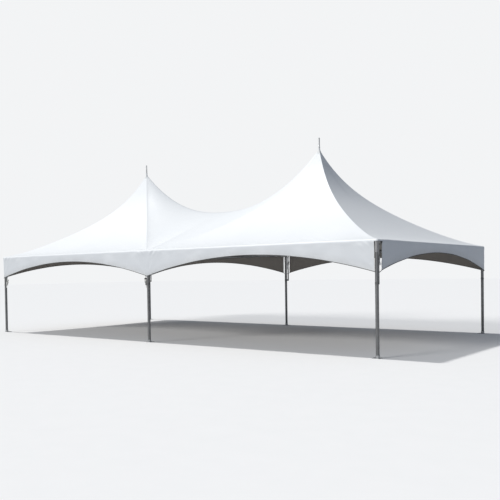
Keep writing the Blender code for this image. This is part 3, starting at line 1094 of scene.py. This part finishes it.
for place, leg in LEGS.items():
    point = leg + up * TUBE_Z
    inward = Vector((0, math.copysign(1, -leg.y), 0))
    at_corner = abs(leg.x) > HALF_BAY
    along = Vector((math.copysign(1, -leg.x), 0, 0)) if at_corner else Vector((1, 0, 0))
    ends = [along, inward, -up] + ([] if at_corner else [-along])
    fitting = bmesh.new()
    for order, way in enumerate(ends):
        radius = SLEEVE_RADIUS - 0.0005 * (order % 3)
        rounded(fitting, point, point + way * SLEEVE_REACH, radius)
        rounded(fitting, point + way * (SLEEVE_REACH - 0.014), point + way * (SLEEVE_REACH + 0.0002), radius + LIP)
    ball = [math.pi * step / 16 for step in range(1, 16)]
    lathe(fitting, leg, [(KNUCKLE * math.sin(a), TUBE_Z + KNUCKLE * math.cos(a)) for a in ball], sides=32)
    for turn in ([along] if at_corner else [along, -along]):
        way = (turn + inward).normalized()
        flank = way.cross(up)
        plate = [point - up * LUG_DROP + way * a + up * b - flank * 0.007 for a, b in (
            (0.02, -0.020), (0.098, -0.020), (0.107, -0.014), (0.110, -0.005), (0.110, 0.005),
            (0.107, 0.014), (0.098, 0.020), (0.02, 0.020))]
        prism(fitting, plate, flank * 0.014)
    name = "eave_fitting_" + place
    add_piece("joint_" + place, closed_skins(fitting), [FITTING], [name])
print("fittings made")

# %% [markdown]
# ## Bolts of the eave fittings and feet
#
# Each sleeve of a fitting is held to its tube by a bolt from below, the leg by a bolt from inside.
# The foot boss has one too, and its plate has three holes for stakes or floor bolts, which the leg
# leaves free. The holes are not cut: each is a thin black disc on the plate, painted shade for the
# hollow of the hole.

# %% Fitting bolts
bolts = bmesh.new()
hole_shade = bmesh.new()
down = Vector((0, 0, -1))
for place, leg in LEGS.items():
    inward = Vector((0, math.copysign(1, -leg.y), 0))
    arms = [inward] + [Vector((way, 0, 0)) for way in (-1, 1) if abs(leg.x + way) < HALF_LENGTH]
    for arm in arms:
        bolt(bolts, leg + arm * 0.160 + Vector((0, 0, TUBE_Z - SLEEVE_RADIUS + 0.001)), down)
    for height in (TUBE_Z - 0.165, 0.040):
        bolt(bolts, leg + inward * 0.0395 + Vector((0, 0, height)), inward)
    plate_low, plate_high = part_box("base_plate_" + place)
    middle = (plate_low + plate_high) / 2
    for x in (-1, 1):
        for y in (-1, 1):
            spot = Vector((middle.x + x * 0.055, middle.y + y * 0.055, 0.008))
            if (spot.xy - leg.xy).length > 0.060:
                # Each hole is not cut but is a thin black disc: painted shade for its hollow.
                prism(hole_shade, disc(spot, Vector((1, 0, 0)), Vector((0, 1, 0)), 0.0085), Vector((0, 0, 0.0004)))
add_piece("frame_bolts", closed_skins(bolts), [BOLT])
add_piece("plate_hole_shade", closed_skins(hole_shade), [BLACK_STEEL_AND_HOLE_SHADE])

# %% [markdown]
# ## Tie-down straps
#
# Beside each leg a webbing tape pulls the fabric's corner down. It hangs in a doubled loop from a
# pin under the sleeve, is tightened by a ratchet, and ends in a band round the leg. A ratchet is
# two steel cheeks with a slotted spool between them, a toothed wheel on each side of the spool and
# a handle with a grip. The photograph shows it low at the front left and front middle legs, and
# through the slits, high behind the valance, at three others. The back right leg shows none. Its
# strap is a guess from the others, on the side where it lies in line with the leg.

# %% Parts of a strap
TAPE_REACH = 0.085                            # tape from the middle of the leg
TAPE_WIDTH = 0.045
TAPE_THICKNESS = 0.0028
BAND_LOW, BAND_HIGH = 1.390, 1.435
SLEEVE_BOTTOM = TUBE_Z - SLEEVE_RADIUS
WHITE, STEEL, DARK, GREY = 0, 1, 2, 3


def ratchet(bm, centre, out, side):
    """Cheeks, spool, wheels and handle; out is across the tape, side is through it."""
    up = Vector((0, 0, 1))
    for cheek in (-1, 1):
        face = centre + out * cheek * 0.0255
        outline = [face + side * a + up * b for a, b in (
            (-0.010, -0.054), (0.010, -0.054), (0.015, -0.046), (0.016, -0.010), (0.012, 0.012),
            (0.008, 0.050), (0.004, 0.054), (-0.004, 0.054), (-0.008, 0.050), (-0.012, 0.012),
            (-0.016, -0.010), (-0.015, -0.046))]
        prism(bm, outline, out * cheek * 0.0025, STEEL)
        wheel = disc(face + out * cheek * -0.0005 - up * 0.012, side, up, 0.0135, 24, 0.10)
        prism(bm, wheel, out * cheek * -0.002, DARK)
        handle = [centre + out * cheek * 0.0285 + side * a + up * b for a, b in (
            (-0.006, -0.018), (0.006, -0.018), (0.019, 0.040), (0.017, 0.055), (0.009, 0.055), (0.003, 0.030))]
        prism(bm, handle, out * cheek * 0.002, STEEL)
        bolt(bm, centre + out * cheek * 0.0305 - up * 0.012, out * cheek, 0.005, DARK)
    sweep(bm, [centre + out * r - up * 0.012 for r in (-0.030, 0.030)], 0.006, 12, material=STEEL)
    sweep(bm, [centre + out * r - up * 0.012 for r in (-0.0225, 0.0225)], 0.0115, 20, material=WHITE)
    sweep(bm, [centre + out * r - up * 0.047 for r in (-0.028, 0.028)], 0.005, 12, material=STEEL)
    grip = centre + side * 0.014 + up * 0.047
    outline = [grip + side * a + up * b for a, b in (
        (-0.004, -0.013), (0.005, -0.013), (0.008, -0.008), (0.008, 0.010), (0.004, 0.014),
        (-0.005, 0.014), (-0.008, 0.009), (-0.008, -0.008))]
    prism(bm, [point - out * 0.030 for point in outline], out * 0.060, DARK)


# %% Tapes and bands
STRAPS = {
    "front_left": ((1, 0), 1.500),
    "front_middle": ((-1, 0), 1.500),
    "front_right": ((0, 1), 1.930),
    "back_right": ((0, -1), 1.930),
    "back_middle": ((1, 0), 1.930),
    "back_left": ((1, 0), 1.930),
}


def loop(reach_line, side, start, end, radius):
    """A doubled tape from start up to a half turn round end, and back down."""
    turns = [math.pi * step / 8 for step in range(9)]
    top = [reach_line(side * radius * math.cos(a), end + radius * math.sin(a)) for a in turns]
    return [reach_line(side * 0.0015, start)] + top + [reach_line(side * -0.0015, start)]


for place, (plan_way, ratchet_z) in STRAPS.items():
    leg = LEGS[place]
    out = Vector((*plan_way, 0))
    side = Vector((-out.y, out.x, 0))
    width = out * TAPE_WIDTH

    def at(reach, across=0.0, height=0.0):
        return leg + out * reach + side * across + Vector((0, 0, height))

    bm = bmesh.new()
    pin_z = SLEEVE_BOTTOM - 0.022
    ribbon(bm, loop(lambda across, z: at(TAPE_REACH, across.dot(side), z), side, pin_z - 0.13, pin_z, 0.0072), width)
    sweep(bm, [at(TAPE_REACH + r, 0, pin_z) for r in (-0.030, 0.030)], 0.0050, 12, material=STEEL)
    for ear in (-1, 1):
        outline = [at(TAPE_REACH + ear * 0.026, a, b) for a, b in (
            (-0.014, SLEEVE_BOTTOM + 0.002), (-0.012, pin_z - 0.006), (-0.006, pin_z - 0.011),
            (0.006, pin_z - 0.011), (0.012, pin_z - 0.006), (0.014, SLEEVE_BOTTOM + 0.002))]
        prism(bm, outline, out * ear * 0.003, STEEL)
    ribbon(bm, [at(TAPE_REACH, 0, pin_z - 0.11), at(TAPE_REACH, 0, ratchet_z + 0.03), at(TAPE_REACH, 0.010, ratchet_z)], width)
    ribbon(bm, [at(TAPE_REACH, 0.004, ratchet_z - 0.042), at(TAPE_REACH, 0.001, ratchet_z - 0.060),
                at(TAPE_REACH, 0, BAND_LOW + 0.006)], width * 0.94, material=GREY)
    tail = [at(TAPE_REACH, -0.011 - 0.010 * math.sin(2.2 * share) - 0.006 * math.sin(9 * share),
               ratchet_z - 0.012 - 0.17 * share) for share in (step / 14 for step in range(15))]
    ribbon(bm, tail, width * 0.92, 0.0024)
    ratchet(bm, at(TAPE_REACH, 0, ratchet_z), out, side)
    round_leg = [math.radians(55 + 250 * step / 24) for step in range(25)]
    band_path = [at(0.0372 * math.cos(a), 0.0372 * math.sin(a), (BAND_LOW + BAND_HIGH) / 2) for a in round_leg]
    ends = [(0.060, -0.006), (0.100, -0.003), (0.104, 0.0), (0.100, 0.003), (0.060, 0.006)]
    band_path += [at(reach, across, (BAND_LOW + BAND_HIGH) / 2) for reach, across in ends]
    ribbon(bm, band_path, Vector((0, 0, BAND_HIGH - BAND_LOW)), 0.0024, True, GREY)
    add_piece("strap_" + place, closed_skins(bm), [WEBBING, BOLT, BLACK_STEEL_AND_HOLE_SHADE, GREY_WEBBING], ["tie_down_strap_" + place])
print("straps made")

# %% [markdown]
# ## Light and floor
#
# The photograph's sun stands high on the left, so the shadow lies nearly under the tent and a
# little to the right. The front valance is still light, which takes a second, softer light from the
# front. The right end gets neither and stays in shade, filled by a weak even sky. The floor is
# plain and pale. The real ground was dark, so the floor is kept from lighting the tent from below.

# %% Light
def add_sun(name, way, strength, spread, colour):
    """A sun that shines from the given way; spread softens its shadows."""
    data = bpy.data.lights.new(name, "SUN")
    data.energy = strength
    data.angle = math.radians(spread)
    data.color = colour
    lamp = bpy.data.objects.new(name, data)
    lamp.rotation_euler = Vector(way).to_track_quat("Z", "Y").to_euler()
    bpy.context.scene.collection.objects.link(lamp)


add_sun("key", (-0.47, -0.02, 0.88), 1.82, 3, (1.0, 0.985, 0.965))
add_sun("fill", (-0.30, -0.86, 0.42), 1.85, 18, (1.0, 0.985, 0.965))

world = bpy.data.worlds.new("sky")
bpy.context.scene.world = world
world.use_nodes = True
sky_tree = world.node_tree
background = sky_tree.nodes["Background"]
background.inputs["Color"].default_value = (0.80, 0.87, 1.0, 1)
background.inputs["Strength"].default_value = 0.31
seen = sky_tree.nodes.new("ShaderNodeBackground")
seen.inputs["Color"].default_value = (0.895, 0.905, 0.915, 1)
seen.inputs["Strength"].default_value = 1.0
path = sky_tree.nodes.new("ShaderNodeLightPath")
choose = sky_tree.nodes.new("ShaderNodeMixShader")
sky_tree.links.new(path.outputs["Is Camera Ray"], choose.inputs["Fac"])
sky_tree.links.new(background.outputs[0], choose.inputs[1])
sky_tree.links.new(seen.outputs[0], choose.inputs[2])
sky_tree.links.new(choose.outputs[0], sky_tree.nodes["World Output"].inputs["Surface"])
bpy.context.scene.view_settings.view_transform = "Standard"

# %% Floor
FLOOR_HALF = 120.0
floor_bm = bmesh.new()
bmesh.ops.create_grid(floor_bm, x_segments=1, y_segments=1, size=FLOOR_HALF)
floor_mesh = bpy.data.meshes.new("floor")
floor_bm.to_mesh(floor_mesh)
floor_bm.free()
floor = bpy.data.objects.new("floor", floor_mesh)
bpy.context.scene.collection.objects.link(floor)
floor.location.z = -0.001
floor_finish = Finish("floor_finish", Roughness=0.9, Specular_IOR_Level=0.1)
speckle = floor_finish.cloud(3.0, 3.0)
floor_finish.paint("Base Color", floor_finish.mix(speckle, (0.87, 0.875, 0.87), (0.90, 0.90, 0.895)))
floor.visible_diffuse = False
floor_mesh.materials.append(floor_finish.material)
